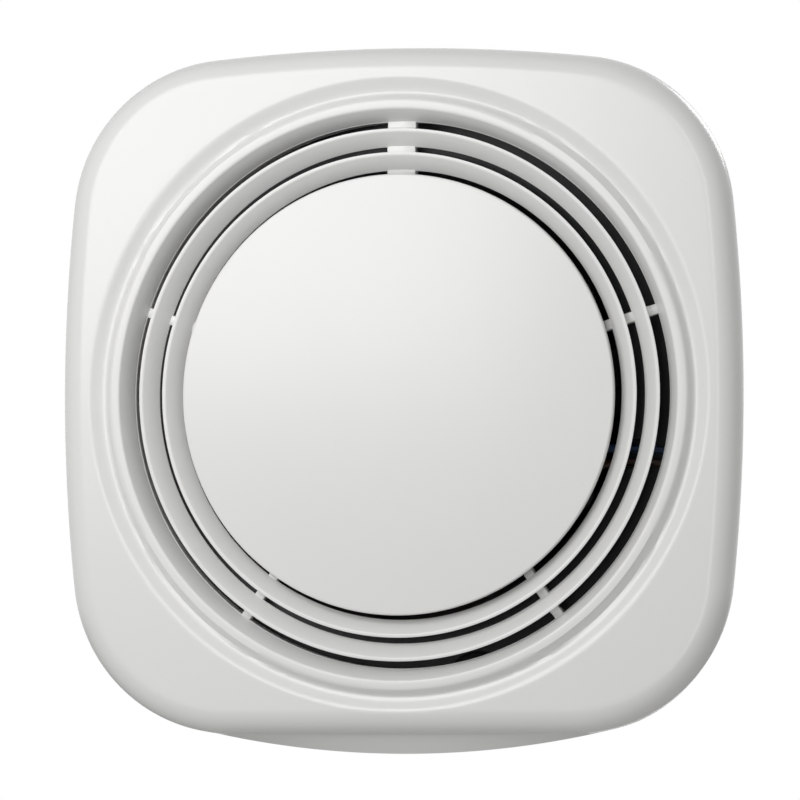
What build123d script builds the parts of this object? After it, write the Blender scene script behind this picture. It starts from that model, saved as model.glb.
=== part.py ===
from build123d import *
from math import cos, radians, sin, sqrt
import os

# Bathroom extractor fan for a 100 mm duct, wall mounted.
# The wall is the plane y = 0. The room is on the -Y side and the duct on the +Y side.
# The fan axis is the Y axis, +Z is up, and +X is to the right as seen from the room.

# ---------------------------------------------------------------- driving dimensions (mm)
# front cover: a square with bowed sides and round corners, widest just behind its rounded face
cover_half = 77.8
side_bow_radius = 410.0
corner_radius = 36.2
cover_wall = 2.0
cover_widest_y = -14.0
cover_back_y = -9.6
flank_lean = 1.0
plateau_y = -19.4
lip_y = -20.0
edge_rounding = 5.2
# underside of the cover: a nearly straight crease above a bowed finger ledge
under_crease_z = 75.8
under_ledge_z = 80.3
under_hollow_z = 74.0

# ringed opening in the middle of the cover
lip_outer_radius = 66.0
lip_inner_radius = 64.0
valley_outer_radius = 71.4
valley_radius = 67.6
valley_y = -18.1
collar_radius = 61.4
collar_y = -15.0
skirt_radius = 64.4
skirt_wall = 1.4
skirt_back_y = -11.6

# louvre grille and its centre disc
ring_front_y = -18.4
ring_back_y = -15.2
ring_front_radii = (54.5, 59.8)
ring_back_radii = (50.2, 55.5)
ring_land = 0.9
spoke_front_y = -15.5
spoke_back_y = -12.2
spoke_angles = (18, 162, 234, 306)
spoke_width = 2.3
top_spoke_width = 6.5
grille_rim_radius = 64.2
grille_rim_inner = 61.2
grille_back_y = -9.5
hub_ring_outer = 45.0
hub_ring_inner = 31.0
disc_radius = 49.4
disc_front_y = -19.6
disc_thickness = 2.0
disc_peg_radius_at = 41.0
disc_peg_angles = (54, 126, 198, 270, 342)
disc_peg_radius = 1.2
disc_shoulder_radius = 2.6
ear_angles = (65, 155, 245, 335)
ear_radius_at = 70.5
ear_radius = 4.0
ear_thickness = 2.0
small_screw_radius = 1.25

# push-on pegs that hold the cover to the tray
peg_angles = (0, 90, 180, 270)
peg_radius_at = 69.5
peg_radius = 2.4
peg_back_y = -4.0
socket_outer_radius = 4.0
socket_clearance = 0.3
socket_front_y = -11.0

# wall tray with its rim, and the duct tube with its flared inlet, spigot and locating collar
tray_inset = 2.5
tray_thickness = 2.5
tray_rim_width = 1.6
plate_inset = tray_inset + 0.8
tray_rim_y = -9.0
spigot_radius = 49.5
spigot_wall = 1.8
spigot_end_y = 82.0
flare_radius = 8.5
flare_start_y = -2.0
collar_ring_radius = 51.0
fit_gap = 0.1
wall_screw_x = 40.0
wall_screw_z = 62.0
wall_screw_radius = 2.4

# motor spider: four struts and the ring that takes the two rubber mounts
strut_angles = (30, 150, 210, 330)
strut_thickness = 3.0
strut_front_y = -5.0
strut_back_y = 6.0
mount_ring_outer = 23.0
mount_ring_inner = 10.5
mount_ring_back_y = -2.5
mount_hole_radius = 3.5
mount_flange_radius = 4.6
mount_flange = 1.4
lead_notch_z = -13.3
lead_notch_width = 7.0
lead_notch_y = -5.4

# shaded-pole motor
motor_screw_x = 15.8
motor_screw_radius = 1.5
stack_front_y = 7.5
stack_back_y = 21.5
core_half_width = 20.0
core_top_z = 16.0
core_foot_z = -37.0
limb_inner_x = 12.5
window_top_z = -12.5
window_foot_z = -26.5
stator_bore = 10.6
shading_holes = ((-10.9, 8.3), (10.9, -8.3))
shading_outer_spots = ((-5.0, 17.1), (5.0, -13.6))
ring_wire_radius = 0.85
ring_end_thickness = 1.6
rotor_radius = 10.2
cage_ring_outer = 9.6
cage_ring_inner = 5.6
cage_ring_depth = 2.6
shaft_radius = 2.0
shaft_front_y = -6.2
shaft_back_y = 60.2
bush_radius = 4.5
bush_bore = 2.04
bracket_boss_radius = 7.0
bracket_half_depth = 6.5
bracket_thickness = 2.5
front_bracket_y = -1.0
rear_bracket_y = 30.0
front_boss_y = -8.0
rear_boss_y = 37.0
coil_build = 6.0
coil_y = (1.0, 28.0)

# impeller
impeller_tip = 46.2
impeller_hub = 18.0
hub_wall = 1.8
impeller_front_y = 36.5
impeller_back_y = 58.0
blade_count = 7
blade_centre_y = 47.5
blade_root_pitch = 48
blade_tip_pitch = 31
blade_root_chord = 23.0
blade_tip_chord = 31.0
blade_thickness = 1.5

# terminal block on the lower right diagonal of the tray
terminal_angle = -45
terminal_radius_at = 75.6
terminal_length = 19.0
terminal_width = 16.0
terminal_height = 8.6
pole_offset = 4.5
pole_height = 5.0
insert_radius = 2.2
wire_hole_radius = 1.4
terminal_base_height = 1.0
terminal_screw_pitch = 9.0
lid_front_y = -14.2

# cable entry and cord clamp at the foot of the tray
lead_radius = 0.9
cable_x = 15.0
cable_z = -65.0
cable_hole_radius = 6.5
cable_radius = 3.6
clamp_x = 31.0
clamp_screw_pitch = 9.6
clamp_screw_spots = [(clamp_x, cable_z + side * clamp_screw_pitch / 2) for side in (-1, 1)]
clamp_pillar_radius = 2.2
clamp_pillar_height = 2.0
clamp_height = 4.4

# back-draught shutter in the end of the spigot
shutter_front_y = 69.0
shutter_end_y = 81.6
shutter_ring_radius = 47.5
shutter_ring_inner = 45.8
seat_radius = 43.4
seat_y = (73.5, 75.5)
pin_y = 78.0
pin_radius = 1.0
knuckle_radius = 2.1
flap_y = (75.8, 77.0)
flap_radius = 45.2
flap_edge_x = 2.9
flap_notch_x = 4.6
knuckle_length = 8.0

BASE = (Align.CENTER, Align.CENTER, Align.MIN)
duct_radius = spigot_radius - spigot_wall


# ---------------------------------------------------------------- shared helpers
def across(y):
    """Plane across the fan axis at this y: its x is +X, its y is +Z, and it faces the room."""
    return Plane.XZ.offset(-y)


def polar(angle, radius):
    """Point at this angle (degrees, from +X towards +Z) and radius, on a plane across the axis."""
    return (radius * cos(radians(angle)), radius * sin(radians(angle)))


def bowed_square(inset, underside=None):
    """Cover outline moved inwards by inset: four shallow arcs joined smoothly by four corner arcs.

    underside is how far down the middle of the lower arc reaches, if not as far as the others.
    """
    half, bow, corner = cover_half - inset, side_bow_radius - inset, corner_radius - inset
    drop = bow - half
    centre = (sqrt(2 * (bow - corner) ** 2 - drop**2) - drop) / 2
    near = centre * bow / (bow - corner)
    far = centre + corner * (centre + drop) / (bow - corner)
    foot = underside or half
    foot_gap = foot - centre
    foot_bow = (corner**2 - centre**2 - foot_gap**2) / (2 * (corner - foot_gap))
    foot_near = centre * foot_bow / (foot_bow - corner)
    foot_far = centre + corner * (foot_bow - foot_gap) / (foot_bow - corner)
    diagonal = centre + corner / sqrt(2)
    with BuildSketch(Plane.XY) as outline:
        with BuildLine():
            ThreePointArc((-near, far), (0, half), (near, far))
            ThreePointArc((near, far), (diagonal, diagonal), (far, near))
            ThreePointArc((far, near), (half, 0), (far, -near))
            ThreePointArc((far, -near), (diagonal, -diagonal), (foot_near, -foot_far))
            ThreePointArc((foot_near, -foot_far), (0, -foot), (-foot_near, -foot_far))
            ThreePointArc((-foot_near, -foot_far), (-diagonal, -diagonal), (-far, -near))
            ThreePointArc((-far, -near), (-half, 0), (-far, near))
            ThreePointArc((-far, near), (-diagonal, diagonal), (-near, far))
        make_face()
    return outline.sketch


def save(part, name):
    """Label the finished piece and write it."""
    part.label = name
    export_step(part, f"parts/{name}.step")


def screw(x, z, head_y, head_radius, head_height, length, radius):
    """Pan-head screw along the axis direction, with its head towards the room and a cross recess."""
    with BuildPart(across(head_y)) as body:
        with Locations((x, z)):
            Cylinder(head_radius, head_height, align=BASE)
        fillet(body.edges().filter_by(GeomType.CIRCLE).sort_by(Axis.Y)[0], head_height * 0.45)
        with Locations((x, z, head_height)):
            Box(head_radius * 1.1, head_radius * 0.26, head_height * 0.8, mode=Mode.SUBTRACT)
            Box(head_radius * 0.26, head_radius * 1.1, head_height * 0.8, mode=Mode.SUBTRACT)
        with Locations((x, z, -length)):
            Cylinder(radius, length, align=BASE)
    return body.part


os.makedirs("parts", exist_ok=True)

# ================================================================ front of the fan
# front_cover: shell with a raised lip and a shallow valley round the opening
with BuildPart() as front_cover:
    with BuildSketch(across(cover_widest_y)):
        add(bowed_square(0, under_crease_z))
    extrude(amount=cover_widest_y - plateau_y)
    fillet(front_cover.faces().sort_by(Axis.Y)[0].edges(), edge_rounding)
    # flank, leaning in towards the wall, and out over the finger ledge
    with BuildSketch(across(cover_widest_y)):
        add(bowed_square(0, under_crease_z))
    with BuildSketch(across(cover_back_y)):
        add(bowed_square(flank_lean, under_ledge_z))
    loft()
    # hollow behind the face
    with BuildSketch(across(cover_back_y)):
        add(bowed_square(cover_wall + flank_lean, under_hollow_z))
    extrude(amount=cover_back_y - plateau_y - cover_wall, mode=Mode.SUBTRACT)
    # face thickened round the opening, so that the valley leaves a full wall behind it
    with BuildSketch(Plane.XY):
        with BuildLine():
            Polyline(
                (skirt_radius, skirt_back_y),
                (skirt_radius + skirt_wall, skirt_back_y),
                (skirt_radius + skirt_wall, valley_y + cover_wall),
                (valley_radius, valley_y + cover_wall),
                (valley_outer_radius, plateau_y + cover_wall),
                (valley_outer_radius, plateau_y + 0.2),
                (lip_inner_radius, lip_y),
                (collar_radius, collar_y),
                (skirt_radius, collar_y),
                (skirt_radius, skirt_back_y),
            )
        make_face()
    revolve(axis=Axis.Y)
    # opening and valley
    with BuildSketch(Plane.XY):
        with BuildLine():
            Line((0, cover_back_y), (0, lip_y - 1))
            Line((0, lip_y - 1), (lip_inner_radius, lip_y - 1))
            Line((lip_inner_radius, lip_y - 1), (lip_inner_radius, lip_y))
            Line((lip_inner_radius, lip_y), (collar_radius, collar_y))
            Line((collar_radius, collar_y), (collar_radius, cover_back_y))
            Line((collar_radius, cover_back_y), (0, cover_back_y))
        make_face()
    revolve(axis=Axis.Y, mode=Mode.SUBTRACT)
    with BuildSketch(Plane.XY):
        with BuildLine():
            Line((lip_outer_radius, lip_y - 1), (lip_outer_radius, lip_y))
            Spline(
                (lip_outer_radius, lip_y),
                (valley_radius, valley_y),
                (valley_outer_radius, plateau_y),
                tangents=((0.35, 1), (1, -0.12)),
            )
            Line((valley_outer_radius, plateau_y), (valley_outer_radius, lip_y - 1))
            Line((valley_outer_radius, lip_y - 1), (lip_outer_radius, lip_y - 1))
        make_face()
    revolve(axis=Axis.Y, mode=Mode.SUBTRACT)
    # raised lip between the opening and the valley
    with BuildSketch(Plane.XY):
        with BuildLine():
            Polyline(
                (lip_inner_radius, lip_y),
                (lip_outer_radius, lip_y),
                (lip_outer_radius + 0.4, valley_y),
                (lip_inner_radius, valley_y),
                (lip_inner_radius, lip_y),
            )
        make_face()
    revolve(axis=Axis.Y)
    # push-on pegs and screw bosses behind the face
    with BuildSketch(across(plateau_y + cover_wall / 2)):
        with Locations(*[polar(a, peg_radius_at) for a in peg_angles]):
            Circle(peg_radius)
    extrude(amount=-(peg_back_y - plateau_y - cover_wall / 2))
    with BuildSketch(across(plateau_y + cover_wall / 2)):
        with Locations(*[polar(a, ear_radius_at) for a in ear_angles]):
            Circle(ear_radius - 1)
    extrude(amount=-(skirt_back_y - plateau_y - cover_wall / 2))
    with BuildSketch(across(skirt_back_y)):
        with Locations(*[polar(a, ear_radius_at) for a in ear_angles]):
            Circle(small_screw_radius)
    extrude(amount=4.5, mode=Mode.SUBTRACT)
save(front_cover.part, "front_cover")

# louvre_grille: rim, two conical rings and a hub ring, all on five spokes
with BuildPart() as louvre_grille:
    for front, back in zip(ring_front_radii, ring_back_radii):
        with BuildSketch(Plane.XY):
            with BuildLine():
                Polyline(
                    (front, ring_front_y),
                    (back + ring_land + 0.1, ring_back_y),
                    (back, ring_back_y),
                    (front - ring_land, ring_front_y),
                    (front, ring_front_y),
                )
            make_face()
        revolve(axis=Axis.Y)
    with BuildSketch(across(grille_back_y)):
        Circle(grille_rim_radius)
        Circle(grille_rim_inner, mode=Mode.SUBTRACT)
    extrude(amount=grille_back_y - collar_y - 0.1)
    with BuildSketch(across(spoke_back_y)):
        Circle(hub_ring_outer)
        Circle(hub_ring_inner, mode=Mode.SUBTRACT)
    extrude(amount=2.0)
    # spokes, the top one wider; they carry the rings on their front edges
    spoke_length = grille_rim_inner + 0.6 - hub_ring_inner - 3
    spoke_middle = (grille_rim_inner + 0.6 + hub_ring_inner + 3) / 2
    with BuildSketch(across(spoke_back_y)):
        for angle in spoke_angles:
            with Locations(Location(polar(angle, spoke_middle), angle)):
                Rectangle(spoke_length, spoke_width)
        with Locations((0, spoke_middle)):
            Rectangle(top_spoke_width, spoke_length)
    extrude(amount=spoke_back_y + 14.9)
    with BuildSketch(across(spoke_back_y)):
        for angle in spoke_angles:
            with Locations(Location(polar(angle, spoke_middle - 1), angle)):
                Rectangle(spoke_length - 5, spoke_width)
        with Locations((0, spoke_middle - 1)):
            Rectangle(top_spoke_width, spoke_length - 5)
        Circle(ring_back_radii[0] - 3, mode=Mode.SUBTRACT)
    extrude(amount=spoke_back_y - spoke_front_y)
    # screw ears on the rim, and peg holes for the centre disc
    with BuildSketch(across(grille_back_y)):
        for angle in ear_angles:
            with Locations(Location(polar(angle, (grille_rim_inner + ear_radius_at) / 2 + 1), angle)):
                Rectangle(ear_radius_at - grille_rim_inner - 2, 2 * ear_radius)
            with Locations(polar(angle, ear_radius_at)):
                Circle(ear_radius)
    extrude(amount=ear_thickness)
    with BuildSketch(across(grille_back_y)):
        with Locations(*[polar(a, ear_radius_at) for a in ear_angles]):
            Circle(small_screw_radius + 0.2)
    extrude(amount=ear_thickness, mode=Mode.SUBTRACT)
    with BuildSketch(across(spoke_back_y)):
        with Locations(*[polar(a, disc_peg_radius_at) for a in disc_peg_angles]):
            Circle(disc_peg_radius + 0.1)
    extrude(amount=2.0, mode=Mode.SUBTRACT)
save(louvre_grille.part, "louvre_grille")

# centre_disc: flat cap in front of the hub ring, on five shouldered pegs
with BuildPart() as centre_disc:
    with BuildSketch(across(disc_front_y + disc_thickness)):
        Circle(disc_radius)
    extrude(amount=disc_thickness)
    fillet(centre_disc.faces().sort_by(Axis.Y)[0].edges(), 0.5)
    with BuildSketch(across(spoke_back_y - 2.1)):
        with Locations(*[polar(a, disc_peg_radius_at) for a in disc_peg_angles]):
            Circle(disc_shoulder_radius)
    extrude(amount=spoke_back_y - 2.1 - disc_front_y - disc_thickness / 2)
    with BuildSketch(across(spoke_back_y + 0.4)):
        with Locations(*[polar(a, disc_peg_radius_at) for a in disc_peg_angles]):
            Circle(disc_peg_radius)
    extrude(amount=3.0)
save(centre_disc.part, "centre_disc")

# grille_screws: four screws up through the ears into the cover's bosses, heads towards the wall
with BuildPart(across(grille_back_y)) as grille_screws:
    with Locations(*[polar(a, ear_radius_at) for a in ear_angles]):
        Cylinder(2.4, 1.5, align=(Align.CENTER, Align.CENTER, Align.MAX))
        Cylinder(small_screw_radius, 6.2, align=BASE)
save(grille_screws.part, "grille_screws")

# ================================================================ housing
# tray_rim: frame that stands on the edge of the tray and closes it towards the cover
with BuildPart() as tray_rim:
    with BuildSketch(across(-tray_thickness)):
        add(bowed_square(tray_inset))
        add(bowed_square(tray_inset + tray_rim_width), mode=Mode.SUBTRACT)
    extrude(amount=-tray_thickness - tray_rim_y)
save(tray_rim.part, "tray_rim")

# wall_tray: flat plate with the cover's sockets and the holes for screws and cable
with BuildPart() as wall_tray:
    with BuildSketch(across(0)):
        add(bowed_square(plate_inset))
    extrude(amount=tray_thickness)
    with BuildSketch(across(-tray_thickness)):
        with Locations(*[polar(a, peg_radius_at) for a in peg_angles]):
            Circle(socket_outer_radius)
    extrude(amount=-tray_thickness - socket_front_y)
    # base of the terminal block, and two pillars for the cord clamp's screws
    with BuildSketch(across(-tray_thickness)):
        with Locations(Location(polar(terminal_angle, terminal_radius_at), terminal_angle)):
            Rectangle(terminal_width, terminal_length - 4)
    extrude(amount=terminal_base_height)
    with BuildSketch(across(-tray_thickness)):
        with Locations(*clamp_screw_spots):
            Circle(clamp_pillar_radius)
    extrude(amount=clamp_pillar_height)
    # holes: duct tube, cover sockets, wall screws, cable entry and small screws
    with BuildSketch(across(0)):
        Circle(collar_ring_radius + fit_gap)
        with GridLocations(2 * wall_screw_x, 2 * wall_screw_z, 2, 2):
            Circle(wall_screw_radius)
        with Locations((cable_x, cable_z)):
            Circle(cable_hole_radius)
    extrude(amount=tray_thickness, mode=Mode.SUBTRACT)
    with BuildSketch(across(-tray_thickness)):
        with Locations(*[polar(a, peg_radius_at) for a in peg_angles]):
            Circle(peg_radius + socket_clearance)
    extrude(amount=-tray_thickness - socket_front_y, mode=Mode.SUBTRACT)
    with BuildSketch(across(-0.8)):
        with Locations(polar(terminal_angle, terminal_radius_at), *clamp_screw_spots):
            Circle(small_screw_radius)
    extrude(amount=4.0, mode=Mode.SUBTRACT)
save(wall_tray.part, "wall_tray")

# duct_tube: flared inlet, collar in the tray's hole and spigot, one section turned about the axis
flare_centre = duct_radius + flare_radius
flare_front_y = flare_start_y - flare_radius
flare_back_y = flare_front_y + spigot_wall
flare_rim = flare_centre + 1
with BuildPart() as duct_tube:
    with BuildSketch(Plane.XY):
        with BuildLine():
            Line((duct_radius, spigot_end_y), (duct_radius, flare_start_y))
            RadiusArc((duct_radius, flare_start_y), (flare_centre, flare_front_y), -flare_radius)
            Line((flare_centre, flare_front_y), (flare_rim, flare_front_y))
            Line((flare_rim, flare_front_y), (flare_rim, flare_back_y))
            Line((flare_rim, flare_back_y), (flare_centre, flare_back_y))
            RadiusArc(
                (flare_centre, flare_back_y), (spigot_radius, flare_start_y), flare_radius - spigot_wall
            )
            Line((spigot_radius, flare_start_y), (collar_ring_radius, flare_start_y))
            Line((collar_ring_radius, flare_start_y), (collar_ring_radius, 0))
            Line((collar_ring_radius, 0), (spigot_radius, 0))
            Line((spigot_radius, 0), (spigot_radius, spigot_end_y))
            Line((spigot_radius, spigot_end_y), (duct_radius, spigot_end_y))
        make_face()
    revolve(axis=Axis.Y)
    # notch in the flare for the leads
    with BuildSketch(across(lead_notch_y)):
        with Locations((flare_centre, lead_notch_z)):
            Rectangle(2 * flare_radius + 6, lead_notch_width)
    extrude(amount=8.0, mode=Mode.SUBTRACT)
save(duct_tube.part, "duct_tube")

# motor_spider: four struts inside the duct tube, and the ring that takes the two rubber mounts
with BuildPart() as motor_spider:
    strut_start = mount_ring_outer - 2
    with BuildSketch(across(strut_back_y)):
        for angle in strut_angles:
            with Locations(Location(polar(angle, (duct_radius + strut_start) / 2), angle)):
                Rectangle(duct_radius - strut_start + 2, strut_thickness)
        Circle(duct_radius - fit_gap, mode=Mode.INTERSECT)
    extrude(amount=strut_back_y - strut_front_y)
    with BuildSketch(across(mount_ring_back_y)):
        Circle(mount_ring_outer)
    extrude(amount=mount_ring_back_y - strut_front_y)
    with BuildSketch(across(strut_back_y)):
        Circle(mount_ring_inner)
        with Locations((-motor_screw_x, 0), (motor_screw_x, 0)):
            Circle(mount_hole_radius)
    extrude(amount=strut_back_y - strut_front_y, mode=Mode.SUBTRACT)
save(motor_spider.part, "motor_spider")

# motor_mounts: two flanged rubber bushes in the mount ring
with BuildPart(across(mount_ring_back_y)) as motor_mounts:
    mount_ring_depth = mount_ring_back_y - strut_front_y
    with Locations((-motor_screw_x, 0), (motor_screw_x, 0)):
        Cylinder(mount_hole_radius, mount_ring_depth, align=BASE)
        Cylinder(
            mount_flange_radius, mount_flange, align=(Align.CENTER, Align.CENTER, Align.MAX)
        )
    with Locations((-motor_screw_x, 0, mount_ring_depth), (motor_screw_x, 0, mount_ring_depth)):
        Cylinder(mount_flange_radius, mount_flange, align=BASE)
    with Locations((-motor_screw_x, 0), (motor_screw_x, 0)):
        Cylinder(motor_screw_radius + 0.1, 20, mode=Mode.SUBTRACT)
save(motor_mounts.part, "motor_mounts")

# ================================================================ motor, fixed parts
# stator_core: lamination pack with the rotor bore, the coil window and two shading slots
with BuildPart() as stator_core:
    with BuildSketch(across(stack_back_y)):
        with Locations((0, (core_top_z + core_foot_z) / 2)):
            RectangleRounded(2 * core_half_width, core_top_z - core_foot_z, 3.0)
        Circle(stator_bore, mode=Mode.SUBTRACT)
        with Locations((0, (window_top_z + window_foot_z) / 2)):
            Rectangle(2 * limb_inner_x, window_top_z - window_foot_z, mode=Mode.SUBTRACT)
        with Locations((0, core_top_z)):
            Rectangle(2.4, 7.0, mode=Mode.SUBTRACT)
        with Locations((-motor_screw_x, 0), (motor_screw_x, 0)):
            Circle(motor_screw_radius + 0.1, mode=Mode.SUBTRACT)
        with Locations(*shading_holes):
            Circle(ring_wire_radius + 0.15, mode=Mode.SUBTRACT)
    extrude(amount=stack_back_y - stack_front_y)
save(stator_core.part, "stator_core")

# shading_rings: two copper loops, each through a slot in the core and round the pole's outer side
with BuildPart() as shading_rings:
    for inner, outer in zip(shading_holes, shading_outer_spots):
        with BuildSketch(across(stack_back_y)):
            with Locations(inner, outer):
                Circle(ring_wire_radius)
        extrude(amount=stack_back_y - stack_front_y)
        for y in (stack_front_y, stack_back_y + ring_end_thickness):
            with BuildSketch(across(y)):
                middle = ((inner[0] + outer[0]) / 2, (inner[1] + outer[1]) / 2)
                SlotCenterPoint(middle, outer, 2 * ring_wire_radius)
            extrude(amount=ring_end_thickness)
save(shading_rings.part, "shading_rings")

# coil_bobbin: moulded former round the core's foot, with a flange at each limb
bar_z = (core_foot_z + window_foot_z) / 2
bar_height = window_foot_z - core_foot_z
bar_y = (stack_front_y + stack_back_y) / 2
bar_depth = stack_back_y - stack_front_y
coil_depth = coil_y[1] - coil_y[0]
with BuildPart(Plane.YZ.offset(-limb_inner_x + 0.2)) as coil_bobbin:
    flange_height = bar_height + 2 * coil_build
    with Locations((bar_y, bar_z)):
        Box(bar_depth + 2.2, bar_height + 2.2, 2 * limb_inner_x - 0.4, align=BASE)
        Box(coil_depth, flange_height, 1.2, align=BASE)
    with Locations((bar_y, bar_z, 2 * limb_inner_x - 1.6)):
        Box(coil_depth, flange_height, 1.2, align=BASE)
    with Locations((bar_y, bar_z)):
        Box(bar_depth + 0.1, bar_height + 0.1, 2 * limb_inner_x, align=BASE, mode=Mode.SUBTRACT)
save(coil_bobbin.part, "coil_bobbin")

# coil_winding: enamelled copper between the bobbin's flanges
with BuildPart(Plane.YZ.offset(-limb_inner_x + 1.5)) as coil_winding:
    winding_length = 2 * limb_inner_x - 3.0
    with BuildSketch(Plane.YZ.offset(-limb_inner_x + 1.5)):
        with Locations((bar_y, bar_z)):
            RectangleRounded(coil_depth - 1.2, flange_height - 1.2, 3.4)
            Rectangle(bar_depth + 2.3, bar_height + 2.3, mode=Mode.SUBTRACT)
    extrude(amount=winding_length)
save(coil_winding.part, "coil_winding")


# front_bracket and rear_bracket: straps across the core with a bearing boss each
def bracket(strap_front_y, boss_front_y, boss_back_y, feet_y, bush_hole_y):
    """Strap, two feet towards the core and a boss with a blind or open bush seat."""
    with BuildPart() as strap:
        with BuildSketch(across(strap_front_y + bracket_thickness)):
            SlotOverall(2 * core_half_width, 2 * bracket_half_depth)
        extrude(amount=bracket_thickness)
        with BuildSketch(across(boss_back_y)):
            Circle(bracket_boss_radius)
        extrude(amount=boss_back_y - boss_front_y)
        with BuildSketch(across(feet_y[1])):
            with Locations((-motor_screw_x, 0), (motor_screw_x, 0)):
                Circle(4.0)
        extrude(amount=feet_y[1] - feet_y[0])
        with BuildSketch(across(bush_hole_y[1])):
            Circle(bush_radius)
        extrude(amount=bush_hole_y[1] - bush_hole_y[0], mode=Mode.SUBTRACT)
        with BuildSketch(across(boss_back_y + 20)):
            with Locations((-motor_screw_x, 0), (motor_screw_x, 0)):
                Circle(motor_screw_radius + 0.1)
        extrude(amount=60, mode=Mode.SUBTRACT)
    return strap.part


front_strap_back_y = front_bracket_y + bracket_thickness
rear_strap_front_y = rear_bracket_y - bracket_thickness
front_bracket = bracket(
    front_bracket_y,
    front_boss_y,
    front_strap_back_y,
    (front_strap_back_y, stack_front_y),
    (shaft_front_y - 0.3, front_strap_back_y),
)
save(front_bracket, "front_bracket")
rear_bracket = bracket(
    rear_strap_front_y,
    rear_strap_front_y,
    rear_boss_y,
    (stack_back_y, rear_strap_front_y),
    (rear_strap_front_y, rear_boss_y),
)
save(rear_bracket, "rear_bracket")

# front_bush and rear_bush: sintered bronze bearings
for name, front_y, back_y in (
    ("front_bush", shaft_front_y - 0.2, front_strap_back_y + 0.6),
    ("rear_bush", rear_strap_front_y + 0.3, rear_boss_y - 0.1),
):
    with BuildPart(across(back_y)) as bush:
        Cylinder(bush_radius, back_y - front_y, align=BASE)
        Cylinder(bush_bore, back_y - front_y, align=BASE, mode=Mode.SUBTRACT)
        chamfer(bush.edges().filter_by(GeomType.CIRCLE).group_by(SortBy.RADIUS)[-1], 0.3)
    save(bush.part, name)

# motor_screws and motor_nuts: two long screws through mounts, brackets and core
screw_head_y = strut_front_y - mount_flange
motor_screw_length = rear_bracket_y + 4.0 - screw_head_y
motor_screws = Compound(
    [
        screw(x, 0, screw_head_y, 3.0, 2.0, motor_screw_length, motor_screw_radius)
        for x in (-motor_screw_x, motor_screw_x)
    ]
)
save(motor_screws, "motor_screws")
with BuildPart() as motor_nuts:
    with BuildSketch(across(rear_bracket_y + 2.4)):
        with Locations((-motor_screw_x, 0), (motor_screw_x, 0)):
            RegularPolygon(3.1, 6)
            Circle(motor_screw_radius, mode=Mode.SUBTRACT)
    extrude(amount=2.4)
save(motor_nuts.part, "motor_nuts")

# ================================================================ motor, turning parts
# rotor_core, rotor_cage, rotor_spacers and thrust_washers, all on the shaft
with BuildPart(across(stack_back_y)) as rotor_core:
    Cylinder(rotor_radius, stack_back_y - stack_front_y, align=BASE)
    Cylinder(shaft_radius, stack_back_y - stack_front_y, align=BASE, mode=Mode.SUBTRACT)
save(rotor_core.part, "rotor_core")

with BuildPart() as rotor_cage:
    for back_y in (stack_front_y, stack_back_y + cage_ring_depth):
        with BuildSketch(across(back_y)):
            Circle(cage_ring_outer)
            Circle(cage_ring_inner, mode=Mode.SUBTRACT)
        extrude(amount=cage_ring_depth)
save(rotor_cage.part, "rotor_cage")

with BuildPart() as rotor_spacers:
    for front_y, back_y in ((4.1, stack_front_y), (stack_back_y, 25.9)):
        with BuildSketch(across(back_y)):
            Circle(3.4)
            Circle(shaft_radius, mode=Mode.SUBTRACT)
        extrude(amount=back_y - front_y)
save(rotor_spacers.part, "rotor_spacers")

with BuildPart() as thrust_washers:
    for front_y, back_y in ((2.5, 4.0), (26.0, 27.5)):
        with BuildSketch(across(back_y)):
            Circle(4.0)
            Circle(shaft_radius + 0.03, mode=Mode.SUBTRACT)
        extrude(amount=back_y - front_y)
save(thrust_washers.part, "thrust_washers")

# motor_shaft: ground steel, chamfered at both ends
with BuildPart(across(shaft_back_y)) as motor_shaft:
    Cylinder(shaft_radius, shaft_back_y - shaft_front_y, align=BASE)
    chamfer(motor_shaft.edges().filter_by(GeomType.CIRCLE), 0.4)
save(motor_shaft.part, "motor_shaft")


# impeller: cup-shaped hub, open towards the motor, with twisted and cambered blades
def blade_section(angle, radius, chord, pitch):
    """Cambered plate on the plane square to this radius; its pitch is from the plane of rotation."""
    radial = Vector(cos(radians(angle)), 0, sin(radians(angle)))
    tangent = Vector(-sin(radians(angle)), 0, cos(radians(angle)))
    plane = Plane(origin=radial * radius + Vector(0, blade_centre_y, 0), x_dir=tangent, z_dir=radial)
    run, rise = chord / 2 * cos(radians(pitch)), chord / 2 * sin(radians(pitch))
    camber, half = chord * 0.07, blade_thickness / 2
    normal = (-sin(radians(pitch)), cos(radians(pitch)))
    with BuildSketch(plane) as section:
        with BuildLine():
            crown = (normal[0] * (camber + half), normal[1] * (camber + half))
            belly = (normal[0] * (camber - half), normal[1] * (camber - half))
            lead = (-run, -rise)
            trail = (run, rise)
            offset_lead = (lead[0] + normal[0] * 0.5, lead[1] + normal[1] * 0.5)
            offset_trail = (trail[0] + normal[0] * 0.5, trail[1] + normal[1] * 0.5)
            ThreePointArc(offset_lead, crown, offset_trail)
            Line(offset_trail, trail)
            ThreePointArc(trail, belly, lead)
            Line(lead, offset_lead)
        make_face()
    return section.sketch


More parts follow.
